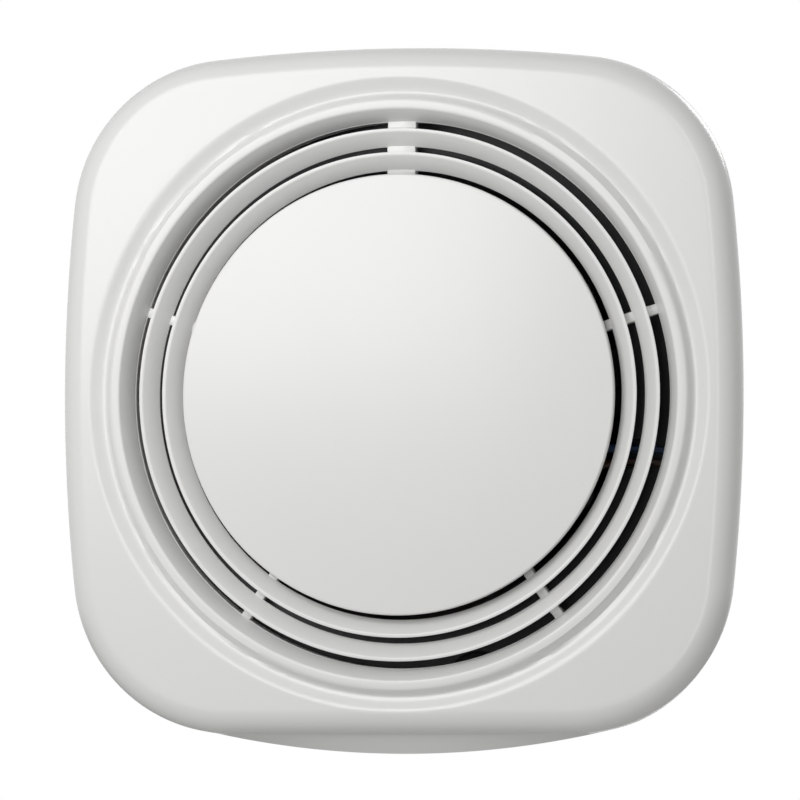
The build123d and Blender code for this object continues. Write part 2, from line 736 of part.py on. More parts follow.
hub_inner = impeller_hub - hub_wall
with BuildPart() as impeller:
    for k in range(blade_count):
        angle = 360 / blade_count * k + 90
        root = blade_section(angle, 12.0, blade_root_chord, blade_root_pitch)
        tip = blade_section(angle, impeller_tip + 2, blade_tip_chord, blade_tip_pitch)
        add(loft([root, tip], mode=Mode.PRIVATE))
    with BuildSketch(across(impeller_back_y + 5)):
        Circle(impeller_tip)
        Circle(hub_inner + 0.6, mode=Mode.SUBTRACT)
    extrude(amount=40, mode=Mode.INTERSECT)
    # hub cup with a domed back and a boss for the shaft
    with BuildSketch(Plane.XY):
        with BuildLine():
            Line((shaft_radius, impeller_front_y + 3), (5.5, impeller_front_y + 3))
            Line((5.5, impeller_front_y + 3), (5.5, impeller_back_y - hub_wall))
            Line((5.5, impeller_back_y - hub_wall), (hub_inner - 2, impeller_back_y - hub_wall))
            Line((hub_inner - 2, impeller_back_y - hub_wall), (hub_inner, impeller_back_y - 3.8))
            Line((hub_inner, impeller_back_y - 3.8), (hub_inner, impeller_front_y))
            Line((hub_inner, impeller_front_y), (impeller_hub, impeller_front_y))
            Line((impeller_hub, impeller_front_y), (impeller_hub, impeller_back_y - 3))
            RadiusArc((impeller_hub, impeller_back_y - 3), (impeller_hub - 3, impeller_back_y), -3)
            Line((impeller_hub - 3, impeller_back_y), (shaft_radius, impeller_back_y))
            Line((shaft_radius, impeller_back_y), (shaft_radius, impeller_front_y + 3))
        make_face()
    revolve(axis=Axis.Y)
save(impeller.part, "impeller")

# impeller_clip: push-on spring cap on the end of the shaft
with BuildPart(across(impeller_back_y + 1.4)) as impeller_clip:
    Cylinder(4.6, 1.3, align=BASE)
    Cylinder(shaft_radius, 1.3, align=BASE, mode=Mode.SUBTRACT)
    with PolarLocations(3.0, 3):
        Box(2.4, 0.5, 1.3, align=BASE, mode=Mode.SUBTRACT)
save(impeller_clip.part, "impeller_clip")

# ================================================================ wiring
# terminal_block: two-pole block on the diagonal; wires run along its length
block_back_y = -tray_thickness - terminal_base_height
block_place = Location(polar(terminal_angle, terminal_radius_at), terminal_angle)
diagonal_x, diagonal_z = polar(terminal_angle, terminal_radius_at)
with BuildPart() as terminal_block:
    with BuildSketch(across(block_back_y)):
        with Locations(block_place):
            RectangleRounded(terminal_width, terminal_length, 1.0)
            Circle(1.7, mode=Mode.SUBTRACT)
    extrude(amount=terminal_height)
    block_frame = Plane(
        origin=(diagonal_x, block_back_y - pole_height, diagonal_z),
        x_dir=(cos(radians(terminal_angle)), 0, sin(radians(terminal_angle))),
        z_dir=(-sin(radians(terminal_angle)), 0, cos(radians(terminal_angle))),
    )
    with BuildSketch(block_frame):
        with Locations((-pole_offset, 0), (pole_offset, 0)):
            Circle(insert_radius)
    extrude(amount=terminal_length, both=True, mode=Mode.SUBTRACT)
    with BuildSketch(across(block_back_y - pole_height)):
        with Locations(block_place):
            with GridLocations(2 * pole_offset, terminal_screw_pitch, 2, 2):
                Circle(1.75)
    extrude(amount=terminal_height, mode=Mode.SUBTRACT)
save(terminal_block.part, "terminal_block")

# terminal_inserts: two brass tubes, each with two tapped holes
with BuildPart() as terminal_inserts:
    with BuildSketch(block_frame):
        with Locations((-pole_offset, 0), (pole_offset, 0)):
            Circle(insert_radius - 0.05)
            Circle(wire_hole_radius, mode=Mode.SUBTRACT)
    extrude(amount=terminal_length / 2 - 1, both=True)
    with BuildSketch(across(block_back_y - pole_height)):
        with Locations(block_place):
            with GridLocations(2 * pole_offset, terminal_screw_pitch, 2, 2):
                Circle(1.1)
    extrude(amount=terminal_height, mode=Mode.SUBTRACT)
save(terminal_inserts.part, "terminal_inserts")

# terminal_screws: four slotted screws in the inserts
screw_spots = [
    Location(block_place) * Location((u, v, 0))
    for u in (-pole_offset, pole_offset)
    for v in (-terminal_screw_pitch / 2, terminal_screw_pitch / 2)
]
with BuildPart(across(block_back_y - pole_height - 0.5)) as terminal_screws:
    with Locations(*screw_spots):
        Cylinder(1.05, 1.8, align=BASE)
    with Locations(*[spot * Location((0, 0, 1.8)) for spot in screw_spots]):
        Cylinder(1.6, 1.5, align=BASE)
    with Locations(*[spot * Location((0, 0, 2.8)) for spot in screw_spots]):
        Box(2.6, 0.5, 0.8, align=BASE, mode=Mode.SUBTRACT)
save(terminal_screws.part, "terminal_screws")

# terminal_cover: lid over the block, open at both wire ends
lid_back_y = block_back_y - 3.0
with BuildPart() as terminal_cover:
    with BuildSketch(across(lid_back_y)):
        with Locations(block_place):
            RectangleRounded(terminal_width + 3.0, terminal_length, 1.2)
    extrude(amount=lid_back_y - lid_front_y)
    fillet(terminal_cover.faces().sort_by(Axis.Y)[0].edges(), 0.8)
    with BuildSketch(across(lid_back_y)):
        with Locations(block_place):
            Rectangle(terminal_width + 0.6, terminal_length + 2)
    extrude(amount=lid_back_y - lid_front_y - 1.2, mode=Mode.SUBTRACT)
    with BuildSketch(across(lid_back_y)):
        with Locations(block_place):
            Circle(1.7)
    extrude(amount=20, mode=Mode.SUBTRACT)
save(terminal_cover.part, "terminal_cover")

# terminal_cover_screw: holds lid and block to the tray
lid_screw = screw(
    diagonal_x, diagonal_z, lid_front_y, 2.8, 1.8, -1.0 - lid_front_y, small_screw_radius
)
save(lid_screw, "terminal_cover_screw")

# cable_grommet: rubber ring in the cable entry
with BuildPart(across(-0.1)) as cable_grommet:
    with Locations((cable_x, cable_z)):
        Cylinder(cable_hole_radius, tray_thickness - 0.1, align=BASE)
    with Locations((cable_x, cable_z, tray_thickness - 0.1)):
        Cylinder(cable_hole_radius + 1.2, 1.5, align=BASE)
    fillet(cable_grommet.faces().sort_by(Axis.Y)[0].edges(), 0.6)
    with Locations((cable_x, cable_z)):
        Cylinder(cable_radius, 5, align=BASE, mode=Mode.SUBTRACT)
save(cable_grommet.part, "cable_grommet")

# cord_clamp: saddle with a half-round groove for the cable
clamp_back_y = -tray_thickness - clamp_pillar_height
with BuildPart() as cord_clamp:
    with BuildSketch(across(clamp_back_y)):
        with Locations((clamp_x, cable_z)):
            RectangleRounded(7.0, clamp_screw_pitch + 3.6, 1.2)
    extrude(amount=clamp_height)
    fillet(cord_clamp.faces().sort_by(Axis.Y)[0].edges(), 0.7)
    with BuildSketch(Plane.YZ.offset(clamp_x - 4)):
        with Locations((clamp_back_y + 0.4, cable_z)):
            Circle(cable_radius - 0.7)
    extrude(amount=8, mode=Mode.SUBTRACT)
    with BuildSketch(across(clamp_back_y)):
        with Locations(*clamp_screw_spots):
            Circle(small_screw_radius + 0.15)
    extrude(amount=10, mode=Mode.SUBTRACT)
save(cord_clamp.part, "cord_clamp")

clamp_screws = Compound(
    [
        screw(x, z, clamp_back_y - clamp_height, 2.0, 1.4, 7.6, small_screw_radius)
        for x, z in clamp_screw_spots
    ]
)
save(clamp_screws, "cord_clamp_screws")

# coil_connector: moulded block on the front of the winding where the leads end
connector_back_y = coil_y[0] + 0.5
with BuildPart() as coil_connector:
    with BuildSketch(across(connector_back_y)):
        with Locations((0, -31.0)):
            RectangleRounded(14.0, 11.0, 1.0)
    extrude(amount=4.8)
    fillet(coil_connector.faces().sort_by(Axis.Y)[0].edges(), 0.6)
save(coil_connector.part, "coil_connector")


# live_lead and neutral_lead: insulated leads from the block, through the notch, to the connector
def lead(points):
    """Round lead along straight runs joined by arcs as large as the runs allow."""
    corners = [Vector(*p) for p in points]
    radii = []
    for before, here, after in zip(corners, corners[1:], corners[2:]):
        run_in, run_out = here - before, after - here
        turn = radians(run_in.get_angle(run_out))
        radii.append(0.45 * min(run_in.length, run_out.length) / (sin(turn / 2) / cos(turn / 2)))
    with BuildPart() as tube:
        with BuildLine() as route:
            FilletPolyline(*corners, radius=radii)
        with BuildSketch(Plane(origin=route.line @ 0, z_dir=route.line % 0)):
            Circle(lead_radius)
        sweep()
    length = sum(edge.length for edge in route.line.edges())
    print("lead length", round(length, 1), "volume", round(tube.part.volume, 1))
    return tube.part


lead_y = -6.4
live_route = [
    (57.6, -8.5, -44.2),
    (63.5, -8.0, -39.0),
    (66.5, lead_y, -29.0),
    (65.0, lead_y, -18.5),
    (57.0, lead_y, -14.9),
    (42.0, lead_y, -15.5),
    (29.0, lead_y, -21.5),
    (19.0, -4.2, -32.2),
    (7.3, -1.4, -33.6),
]
neutral_route = [
    (64.0, -8.5, -50.5),
    (69.0, -8.0, -42.0),
    (70.8, lead_y, -29.0),
    (69.0, lead_y, -16.5),
    (57.5, lead_y, -12.0),
    (41.0, lead_y, -12.0),
    (28.0, lead_y, -16.8),
    (18.5, -4.2, -26.6),
    (7.3, -1.4, -28.4),
]
save(lead(live_route), "live_lead")
save(lead(neutral_route), "neutral_lead")

# ================================================================ back-draught shutter
# shutter_frame: ring in the end of the spigot, with a seat, a middle post and three pin lugs
lug_spots = (43.6, 0.0, -43.6)
with BuildPart() as shutter_frame:
    with BuildSketch(across(shutter_end_y)):
        Circle(shutter_ring_radius)
        Circle(shutter_ring_inner, mode=Mode.SUBTRACT)
    extrude(amount=shutter_end_y - shutter_front_y)
    with BuildSketch(across(seat_y[1])):
        Circle(shutter_ring_inner + 0.5)
        Circle(seat_radius, mode=Mode.SUBTRACT)
        Rectangle(6.4, 2 * shutter_ring_inner)
    extrude(amount=seat_y[1] - seat_y[0])
    with BuildSketch(across(pin_y + 2.0)):
        with Locations((0, lug_spots[0]), (0, lug_spots[2])):
            Rectangle(4.6, 4.6)
        with Locations((0, lug_spots[1])):
            Rectangle(4.0, 3.0)
    extrude(amount=pin_y + 2.0 - seat_y[1])
    with BuildSketch(Plane.XY.offset(-45.0)):
        with Locations((0, pin_y)):
            Circle(pin_radius)
    extrude(amount=90.0, mode=Mode.SUBTRACT)
save(shutter_frame.part, "shutter_frame")

# shutter_pin: steel wire held in the three lugs
with BuildPart() as shutter_pin:
    with BuildSketch(Plane.XY.offset(-44.8)):
        with Locations((0, pin_y)):
            Circle(pin_radius)
    extrude(amount=89.6)
save(shutter_pin.part, "shutter_pin")


# right_flap and left_flap: half-moon plates with two knuckles each on the pin
def flap(side, knuckle_starts):
    """Half-moon plate on this side of the pin; the knuckles start at these heights."""
    with BuildPart() as plate:
        with BuildSketch(across(flap_y[1])):
            Circle(flap_radius)
            with Locations((-side * 50 + side * flap_edge_x, 0)):
                Rectangle(100, 100, mode=Mode.SUBTRACT)
            with Locations((side * flap_edge_x, 0)):
                Rectangle(2 * (flap_notch_x - flap_edge_x), 5.0, mode=Mode.SUBTRACT)
            with Locations((side * flap_edge_x, 45.0), (side * flap_edge_x, -45.0)):
                Rectangle(2 * (flap_notch_x - flap_edge_x), 9.0, mode=Mode.SUBTRACT)
        extrude(amount=flap_y[1] - flap_y[0])
        for start in knuckle_starts:
            with BuildSketch(Plane.XY.offset(start)):
                with Locations((0, pin_y)):
                    Circle(knuckle_radius)
                with Locations((side * 2.5, (flap_y[0] + flap_y[1]) / 2 + 0.1)):
                    Rectangle(5.0, flap_y[1] - flap_y[0] - 0.2)
            extrude(amount=knuckle_length)
        with BuildSketch(Plane.XY.offset(-50)):
            with Locations((0, pin_y)):
                Circle(pin_radius + 0.06)
        extrude(amount=100, mode=Mode.SUBTRACT)
    return plate.part


save(flap(1, (4.0, -34.0)), "right_flap")
save(flap(-1, (26.0, -12.0)), "left_flap")


# right_flap_spring and left_flap_spring: hairpin springs on the pin that press the flaps shut
def flap_spring(side, start):
    """Coiled body round the pin, a leg on the flap and a leg on the frame's post."""
    with BuildPart() as spring:
        with BuildSketch(Plane.XY.offset(start)):
            with Locations((0, pin_y)):
                Circle(1.75)
                Circle(pin_radius + 0.15, mode=Mode.SUBTRACT)
        extrude(amount=5.0)
        with BuildSketch(Plane.YZ.offset(side * 1.2)):
            with Locations((pin_y - 0.2, start + 4.6)):
                Circle(0.3)
        extrude(amount=side * 9.0)
    return spring.part


save(flap_spring(1, 14.0), "right_flap_spring")
save(flap_spring(-1, -19.0), "left_flap_spring")
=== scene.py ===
from math import cos, pi, radians, sin, sqrt

import bmesh
import bpy
from mathutils import Matrix, Vector


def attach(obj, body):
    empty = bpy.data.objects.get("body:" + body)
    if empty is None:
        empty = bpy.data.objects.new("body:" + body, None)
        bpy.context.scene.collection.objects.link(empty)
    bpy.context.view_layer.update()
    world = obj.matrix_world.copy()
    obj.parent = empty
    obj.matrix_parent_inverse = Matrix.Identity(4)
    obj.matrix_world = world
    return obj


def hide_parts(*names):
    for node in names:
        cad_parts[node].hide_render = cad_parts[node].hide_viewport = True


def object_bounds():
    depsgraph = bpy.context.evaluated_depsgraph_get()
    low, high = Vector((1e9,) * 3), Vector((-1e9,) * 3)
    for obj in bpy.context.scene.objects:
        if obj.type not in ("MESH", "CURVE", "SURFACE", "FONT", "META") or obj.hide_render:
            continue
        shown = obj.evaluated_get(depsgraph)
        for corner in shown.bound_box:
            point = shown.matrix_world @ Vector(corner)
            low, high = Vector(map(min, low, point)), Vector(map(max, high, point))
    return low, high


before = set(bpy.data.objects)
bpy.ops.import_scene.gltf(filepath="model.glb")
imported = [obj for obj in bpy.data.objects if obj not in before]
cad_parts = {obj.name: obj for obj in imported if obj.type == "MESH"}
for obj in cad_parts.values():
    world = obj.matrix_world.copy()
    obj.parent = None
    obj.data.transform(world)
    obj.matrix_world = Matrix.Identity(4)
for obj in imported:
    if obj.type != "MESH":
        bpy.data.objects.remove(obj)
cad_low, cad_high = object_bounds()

# A bathroom extractor fan for a 100 mm duct, put together from the wall outwards: housing, wiring,
# motor, impeller, back-draught shutter, then the louvre grille, centre disc and front cover.
# The wall is the plane y = 0, the room is towards -Y, +Z is up. Sizes are in millimetres.

# ---------------------------------------------------------------------------------- housing
# The tray that stands against the wall, its flared inlet, the spigot that enters the duct and the
# four struts of the motor are one injection moulding in graphite ABS, from a spark-eroded tool.


def srgb(code):
    """Linear colour for an sRGB hex value."""
    parts = [int(code[i:i + 2], 16) / 255 for i in (1, 3, 5)]
    return [p / 12.92 if p <= 0.04045 else ((p + 0.055) / 1.055) ** 2.4 for p in parts] + [1.0]


def add_node(tree, kind, inputs=None, **settings):
    """Add one node: settings are its options, inputs are values or sockets to link from."""
    made = tree.nodes.new(kind)
    for name, value in settings.items():
        setattr(made, name, value)
    for name, value in (inputs or {}).items():
        if isinstance(value, bpy.types.NodeSocket):
            tree.links.new(value, made.inputs[name])
        else:
            made.inputs[name].default_value = value
    return made


def per_mm(size):
    """Scale of a texture whose features are this many millimetres across."""
    return 1000.0 / size


def new_material(name):
    """Empty node material, and its tree with an output node."""
    material = bpy.data.materials.new(name)
    material.use_nodes = True
    material.node_tree.nodes.clear()
    return material, material.node_tree


def plastic(name, colour, shade, roughness, grain, depth, ior=1.53, cloud=25.0):
    """Moulded plastic: a faint cloud of tone from the pigment, and the grain of the tool's face.

    grain is the grain's width and depth its height, both in mm. The gloss varies a little with it.
    """
    material, tree = new_material(name)
    place = add_node(tree, "ShaderNodeTexCoord").outputs["Object"]
    flow = add_node(
        tree, "ShaderNodeTexNoise", {"Vector": place, "Scale": per_mm(cloud), "Detail": 2.0}
    )
    tone = add_node(
        tree,
        "ShaderNodeMix",
        {"Factor": flow.outputs["Fac"], "A": srgb(colour), "B": srgb(shade)},
        data_type="RGBA",
    )
    skin = add_node(
        tree, "ShaderNodeTexNoise", {"Vector": place, "Scale": per_mm(grain), "Detail": 3.0}
    )
    gloss = add_node(
        tree,
        "ShaderNodeMapRange",
        {"Value": skin.outputs["Fac"], "To Min": roughness - 0.05, "To Max": roughness + 0.05},
    )
    bump = add_node(
        tree, "ShaderNodeBump", {"Height": skin.outputs["Fac"], "Distance": depth / 1000}
    )
    shader = add_node(
        tree,
        "ShaderNodeBsdfPrincipled",
        {
            "Base Color": tone.outputs["Result"],
            "Roughness": gloss.outputs["Result"],
            "Normal": bump.outputs["Normal"],
            "IOR": ior,
        },
    )
    add_node(tree, "ShaderNodeOutputMaterial", {"Surface": shader.outputs["BSDF"]})
    return material


# ABS pigmented graphite: satin, with a fine spark-eroded grain drawn at 0.5 mm so that it shows
graphite_abs = plastic("graphite ABS, spark-eroded", "#1d1e20", "#191a1c", 0.46, 0.5, 0.02)


def finish_cad(material, slot, *names):
    """Give CAD nodes their material; they already ride on their bodies."""
    for name in names:
        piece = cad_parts[name]
        piece.data.materials.clear()
        piece.data.materials.append(material)


finish_cad(graphite_abs, "housing_graphite", "wall_tray", "tray_rim", "duct_tube", "motor_spider")

# ---------------------------------------------------------------------------------- cable entry
# A black rubber grommet lines the hole where the mains cable enters, and a nylon saddle with two
# screws grips the cable's sheath.

# natural rubber: matt black, hardly shining even at its edges
rubber = plastic("natural rubber, moulded", "#161616", "#101010", 0.75, 0.8, 0.03, ior=1.52)
# nylon without pigment: milky cream, half matt
nylon = plastic("nylon, natural", "#e4dfcf", "#dcd6c4", 0.42, 0.7, 0.015)
finish_cad(rubber, "grommet_rubber", "cable_grommet")
finish_cad(nylon, "bobbin_nylon", "cord_clamp")


def metal(name, colour, shade, roughness, mark, depth, stretch=(1.0, 1.0, 1.0), cloud=6.0):
    """Metal with the marks of how it was worked; mark and depth are their width and height in mm.

    stretch draws the marks out: a small number along an axis makes lines that run along it.
    """
    material, tree = new_material(name)
    place = add_node(tree, "ShaderNodeTexCoord").outputs["Object"]
    drawn = add_node(tree, "ShaderNodeMapping", {"Vector": place, "Scale": stretch})
    cloudy = add_node(
        tree, "ShaderNodeTexNoise", {"Vector": place, "Scale": per_mm(cloud), "Detail": 3.0}
    )
    tone = add_node(
        tree,
        "ShaderNodeMix",
        {"Factor": cloudy.outputs["Fac"], "A": srgb(colour), "B": srgb(shade)},
        data_type="RGBA",
    )
    marks = add_node(
        tree,
        "ShaderNodeTexNoise",
        {"Vector": drawn.outputs["Vector"], "Scale": per_mm(mark), "Detail": 4.0},
    )
    gloss = add_node(
        tree,
        "ShaderNodeMapRange",
        {"Value": marks.outputs["Fac"], "To Min": roughness - 0.08, "To Max": roughness + 0.08},
    )
    bump = add_node(
        tree, "ShaderNodeBump", {"Height": marks.outputs["Fac"], "Distance": depth / 1000}
    )
    shader = add_node(
        tree,
        "ShaderNodeBsdfPrincipled",
        {
            "Base Color": tone.outputs["Result"],
            "Metallic": 1.0,
            "Roughness": gloss.outputs["Result"],
            "Normal": bump.outputs["Normal"],
        },
    )
    add_node(tree, "ShaderNodeOutputMaterial", {"Surface": shader.outputs["BSDF"]})
    return material


# zinc plate over steel: bright, faintly yellow and blue
zinc_plate = metal("steel, zinc plated", "#c9c8bf", "#b4b8bd", 0.28, 0.4, 0.01)
finish_cad(zinc_plate, "screw_steel", "cord_clamp_screws")

# ---------------------------------------------------------------------------------- terminals
# A two-pole strip in nylon with brass inserts and zinc-plated screws, under a graphite lid that one
# long screw holds to the tray.

# brass bar, turned: warm and bright, with fine tool marks drawn 0.3 mm wide so that they show
brass = metal("brass, turned", "#c8a455", "#b8933f", 0.28, 0.3, 0.01)
finish_cad(nylon, "terminal_nylon", "terminal_block")
finish_cad(brass, "brass", "terminal_inserts")
finish_cad(zinc_plate, "screw_steel", "terminal_screws", "terminal_cover_screw")
finish_cad(graphite_abs, "lid_clear_grey", "terminal_cover")

# ---------------------------------------------------------------------------------- leads
# Two single-core leads, brown for live and blue for neutral, run from the terminal strip to the
# coil's connector. Their sleeves are soft PVC, drawn over the wire through a die.

# PVC sleeve: even colour with a half gloss, both colours darkened with painted shade because the leads lie
# in shade
brown_pvc = plastic("PVC, brown", "#3a2010", "#311a0c", 0.36, 1.2, 0.02)
blue_pvc = plastic("PVC, blue", "#143158", "#112a4c", 0.36, 1.2, 0.02)
finish_cad(brown_pvc, "lead_brown", "live_lead")
finish_cad(blue_pvc, "lead_blue", "neutral_lead")

# ---------------------------------------------------------------------------------- motor mounts
# The motor hangs on two rubber bushes in the ring of the housing's struts, which keep its hum out
# of the wall. They are moulded in one piece and buttoned into their holes.
finish_cad(rubber, "mount_rubber", "motor_mounts")

# ---------------------------------------------------------------------------------- stator
# The stator is a pack of punched silicon steel sheets round the rotor's bore. Two copper rings
# through each pole shade it, so that the motor starts turning the right way.

# punched sheet steel: grey and half matt, its marks drawn out along the sheets
lamination_steel = metal(
    "silicon steel, punched laminations", "#7d7c79", "#65625d", 0.42, 0.5, 0.06, (0.05, 1.0, 0.05)
)
# enamelled copper: orange brown, glossy under its clear lacquer
copper = metal("copper, enamelled", "#b8662c", "#a3531f", 0.24, 0.5, 0.02)


def make_piece(name, mesh, material, slot, body, *nodes):
    """Link a finished mesh as a piece of that body, standing for the CAD nodes named."""
    mesh.name = name
    piece = bpy.data.objects.new(name, mesh)
    bpy.context.scene.collection.objects.link(piece)
    mesh.materials.clear()
    mesh.materials.append(material)
    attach(piece, body)
    if nodes:
        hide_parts(*nodes)
    return piece


def to_mesh(shape, crease=35.0):
    """Mesh in metres from a bmesh in mm: doubles merged, faces outwards, smooth but for creases."""
    bmesh.ops.remove_doubles(shape, verts=shape.verts, dist=0.0005)
    bmesh.ops.recalc_face_normals(shape, faces=shape.faces)
    bmesh.ops.scale(shape, vec=(0.001, 0.001, 0.001), verts=shape.verts)
    mesh = bpy.data.meshes.new("part")
    shape.to_mesh(mesh)
    shape.free()
    mesh.shade_smooth()
    mesh.set_sharp_from_angle(angle=radians(crease))
    return mesh


def copied(name):
    """Copy of a CAD node's mesh, in millimetres, with its triangles joined up."""
    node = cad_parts[name]
    shape = bmesh.new()
    shape.from_mesh(node.data)
    shape.transform(Matrix.Scale(1000, 4) @ node.matrix_world)
    bmesh.ops.remove_doubles(shape, verts=shape.verts, dist=0.001)
    return shape


def repeated(name, shape, count, step, material):
    """One mesh of a shape repeated count times along a line, step (mm) apart, by Geometry Nodes."""
    tree = bpy.data.node_groups.new(name, "GeometryNodeTree")
    sockets = tree.interface
    sockets.new_socket("Geometry", in_out="OUTPUT", socket_type="NodeSocketGeometry")
    sockets.new_socket("Geometry", in_out="INPUT", socket_type="NodeSocketGeometry")
    count_in = sockets.new_socket("Count", in_out="INPUT", socket_type="NodeSocketInt")
    step_in = sockets.new_socket("Step", in_out="INPUT", socket_type="NodeSocketVector")
    material_in = sockets.new_socket("Material", in_out="INPUT", socket_type="NodeSocketMaterial")
    given = add_node(tree, "NodeGroupInput").outputs
    line = add_node(
        tree, "GeometryNodeMeshLine", {"Count": given["Count"], "Offset": given["Step"]}, mode="OFFSET"
    )
    copies = add_node(
        tree,
        "GeometryNodeInstanceOnPoints",
        {"Points": line.outputs["Mesh"], "Instance": given["Geometry"]},
    )
    real = add_node(tree, "GeometryNodeRealizeInstances", {"Geometry": copies.outputs["Instances"]})
    dressed = add_node(
        tree,
        "GeometryNodeSetMaterial",
        {"Geometry": real.outputs["Geometry"], "Material": given["Material"]},
    )
    add_node(tree, "NodeGroupOutput", {"Geometry": dressed.outputs["Geometry"]})
    holder = bpy.data.objects.new(name, to_mesh(shape))
    bpy.context.scene.collection.objects.link(holder)
    modifier = holder.modifiers.new("repeat", "NODES")
    modifier.node_group = tree
    modifier[count_in.identifier] = count
    modifier[step_in.identifier] = [part / 1000 for part in step]
    modifier[material_in.identifier] = material
    graph = bpy.context.evaluated_depsgraph_get()
    mesh = bpy.data.meshes.new_from_object(holder.evaluated_get(graph))
    bpy.data.objects.remove(holder)
    return mesh


sheet, sheet_pitch, sheet_count = 0.44, 0.5, 28
stack_front_y, stack_depth = 7.5, 14.0
first_sheet_gap = (sheet_pitch - sheet) / 2


def laminations(core, body):
    """A CAD core redrawn as its separate sheets: one sheet of its outline, repeated through it."""
    plate = copied(core)
    bmesh.ops.translate(plate, vec=(0, -stack_front_y, 0), verts=plate.verts)
    bmesh.ops.scale(plate, vec=(1, sheet / stack_depth, 1), verts=plate.verts)
    bmesh.ops.translate(plate, vec=(0, stack_front_y + first_sheet_gap, 0), verts=plate.verts)
    pack = repeated(core + "_sheets", plate, sheet_count, (0, sheet_pitch, 0), lamination_steel)
    make_piece(core + "_laminations", pack, lamination_steel, "lamination_steel", body, core)


laminations("stator_core", "housing")
finish_cad(copper, "copper", "shading_rings")

# ---------------------------------------------------------------------------------- rotor
# The rotor is a pack of the same steel sheets with an aluminium cage cast through it, pressed on a
# ground shaft. Brass spacers and fibre washers keep it clear of the bushes.

# aluminium as cast: silver grey, satin
aluminium = metal("aluminium, cast", "#b9bbbd", "#a9abad", 0.36, 0.8, 0.03)
# ground steel: bright, its grinding marks drawn 0.12 mm wide so that they show
ground_steel = metal("steel, ground", "#b5b7ba", "#a9abae", 0.2, 0.12, 0.006)
# vulcanised fibre: red brown and matt, like hard card
fibre = plastic("vulcanised fibre", "#8a4a2b", "#7a3f24", 0.7, 0.3, 0.02)
laminations("rotor_core", "rotor")
finish_cad(aluminium, "cage_aluminium", "rotor_cage")
finish_cad(brass, "brass", "rotor_spacers")
finish_cad(fibre, "washer_fibre", "thrust_washers")
finish_cad(ground_steel, "shaft_steel", "motor_shaft")

# ---------------------------------------------------------------------------------- coil
# The coil is enamelled copper wire wound on a nylon bobbin round the stator's foot. Its ends come
# out at a nylon connector, where the two leads push on.


def wire(shape, points, radius, up, closed=False, sides=8):
    """Round wire along the points, with capped ends unless it closes on itself; up is square to it."""
    rings = []
    for i, here in enumerate(points):
        before = points[i - 1] if closed or i else here
        after = points[(i + 1) % len(points)] if closed or i + 1 < len(points) else here
        along = (after - before).normalized()
        side = along.cross(up).normalized()
        top = side.cross(along)
        ring = []
        for k in range(sides):
            a = 2 * pi * k / sides
            ring.append(shape.verts.new(here + (side * cos(a) + top * sin(a)) * radius))
        rings.append(ring)
    following = rings[1:] + rings[:1] if closed else rings[1:]
    for ring, after in zip(rings, following):
        for k in range(sides):
            j = (k + 1) % sides
            shape.faces.new((ring[k], ring[j], after[j], after[k]))
    if not closed:
        shape.faces.new(rings[0])
        shape.faces.new(rings[-1])


# the outer layer, which alone can be seen: 44 turns of 0.48 mm wire, side by side along the bobbin
wire_radius, turn_pitch, turn_count = 0.24, 0.5, 44
turn_half_y, turn_half_z, turn_corner, corner_steps = 12.64, 10.39, 3.2, 6
first_turn_x, coil_y, coil_z = -10.75, 14.5, -31.75
path = []
for side_y, side_z, quarter in ((1, 1, 0), (-1, 1, 1), (-1, -1, 2), (1, -1, 3)):
    for k in range(corner_steps + 1):
        a = (quarter + k / corner_steps) * pi / 2
        y = coil_y + side_y * (turn_half_y - turn_corner) + turn_corner * cos(a)
        z = coil_z + side_z * (turn_half_z - turn_corner) + turn_corner * sin(a)
        path.append(Vector((first_turn_x, y, z)))
turn_of_wire = bmesh.new()
wire(turn_of_wire, path, wire_radius, Vector((1, 0, 0)), closed=True)
layer = repeated("winding_turns", turn_of_wire, turn_count, (turn_pitch, 0, 0), copper)
make_piece("coil_winding_layer", layer, copper, "copper", "housing", "coil_winding")
finish_cad(nylon, "bobbin_nylon", "coil_bobbin", "coil_connector")

# ---------------------------------------------------------------------------------- brackets and bearings
# Two die-cast brackets close the stator front and back, drawn together by two screws with nuts.
# Each holds a bush of sintered bronze, soaked in oil, for the shaft.

# zinc alloy as cast: pale grey, half matt, faintly mottled
die_cast = metal("zinc alloy, die-cast", "#a7a8aa", "#97999c", 0.42, 0.6, 0.03)
# sintered bronze: dull brown, with its pores drawn 0.15 mm across
bronze = metal("bronze, sintered", "#a27b45", "#8a6534", 0.5, 0.15, 0.03)
finish_cad(die_cast, "die_cast_zinc", "front_bracket", "rear_bracket")
finish_cad(bronze, "sintered_bronze", "front_bush", "rear_bush")
finish_cad(zinc_plate, "screw_steel", "motor_screws", "motor_nuts")

# ---------------------------------------------------------------------------------- impeller
# Seven twisted blades on a cup-shaped hub, moulded in one piece in black polypropylene. The hub
# pushes on to the shaft and a spring steel cap holds it there.

# black polypropylene: waxy, half gloss
black_pp = plastic("polypropylene, black", "#141517", "#101113", 0.34, 0.9, 0.012, ior=1.49)
# drawn spring steel: darker than the screws, with a soft shine
spring_steel = metal("spring steel, drawn", "#86888b", "#74767a", 0.3, 0.2, 0.008)
finish_cad(black_pp, "impeller_black", "impeller")
finish_cad(spring_steel, "spring_steel", "impeller_clip")

# ---------------------------------------------------------------------------------- shutter
# A moulded ring in the end of the spigot carries two half-moon flaps on a steel pin. A light spring
# on each keeps it shut against draughts while the fan is off.

# thin grey ABS: satin, a shade lighter than the housing
flap_grey = plastic("ABS, thin grey moulding", "#3b3d40", "#34363a", 0.4, 0.7, 0.012)
finish_cad(graphite_abs, "shutter_grey", "shutter_frame")
finish_cad(flap_grey, "flap_grey", "right_flap", "left_flap")
finish_cad(ground_steel, "shaft_steel", "shutter_pin")

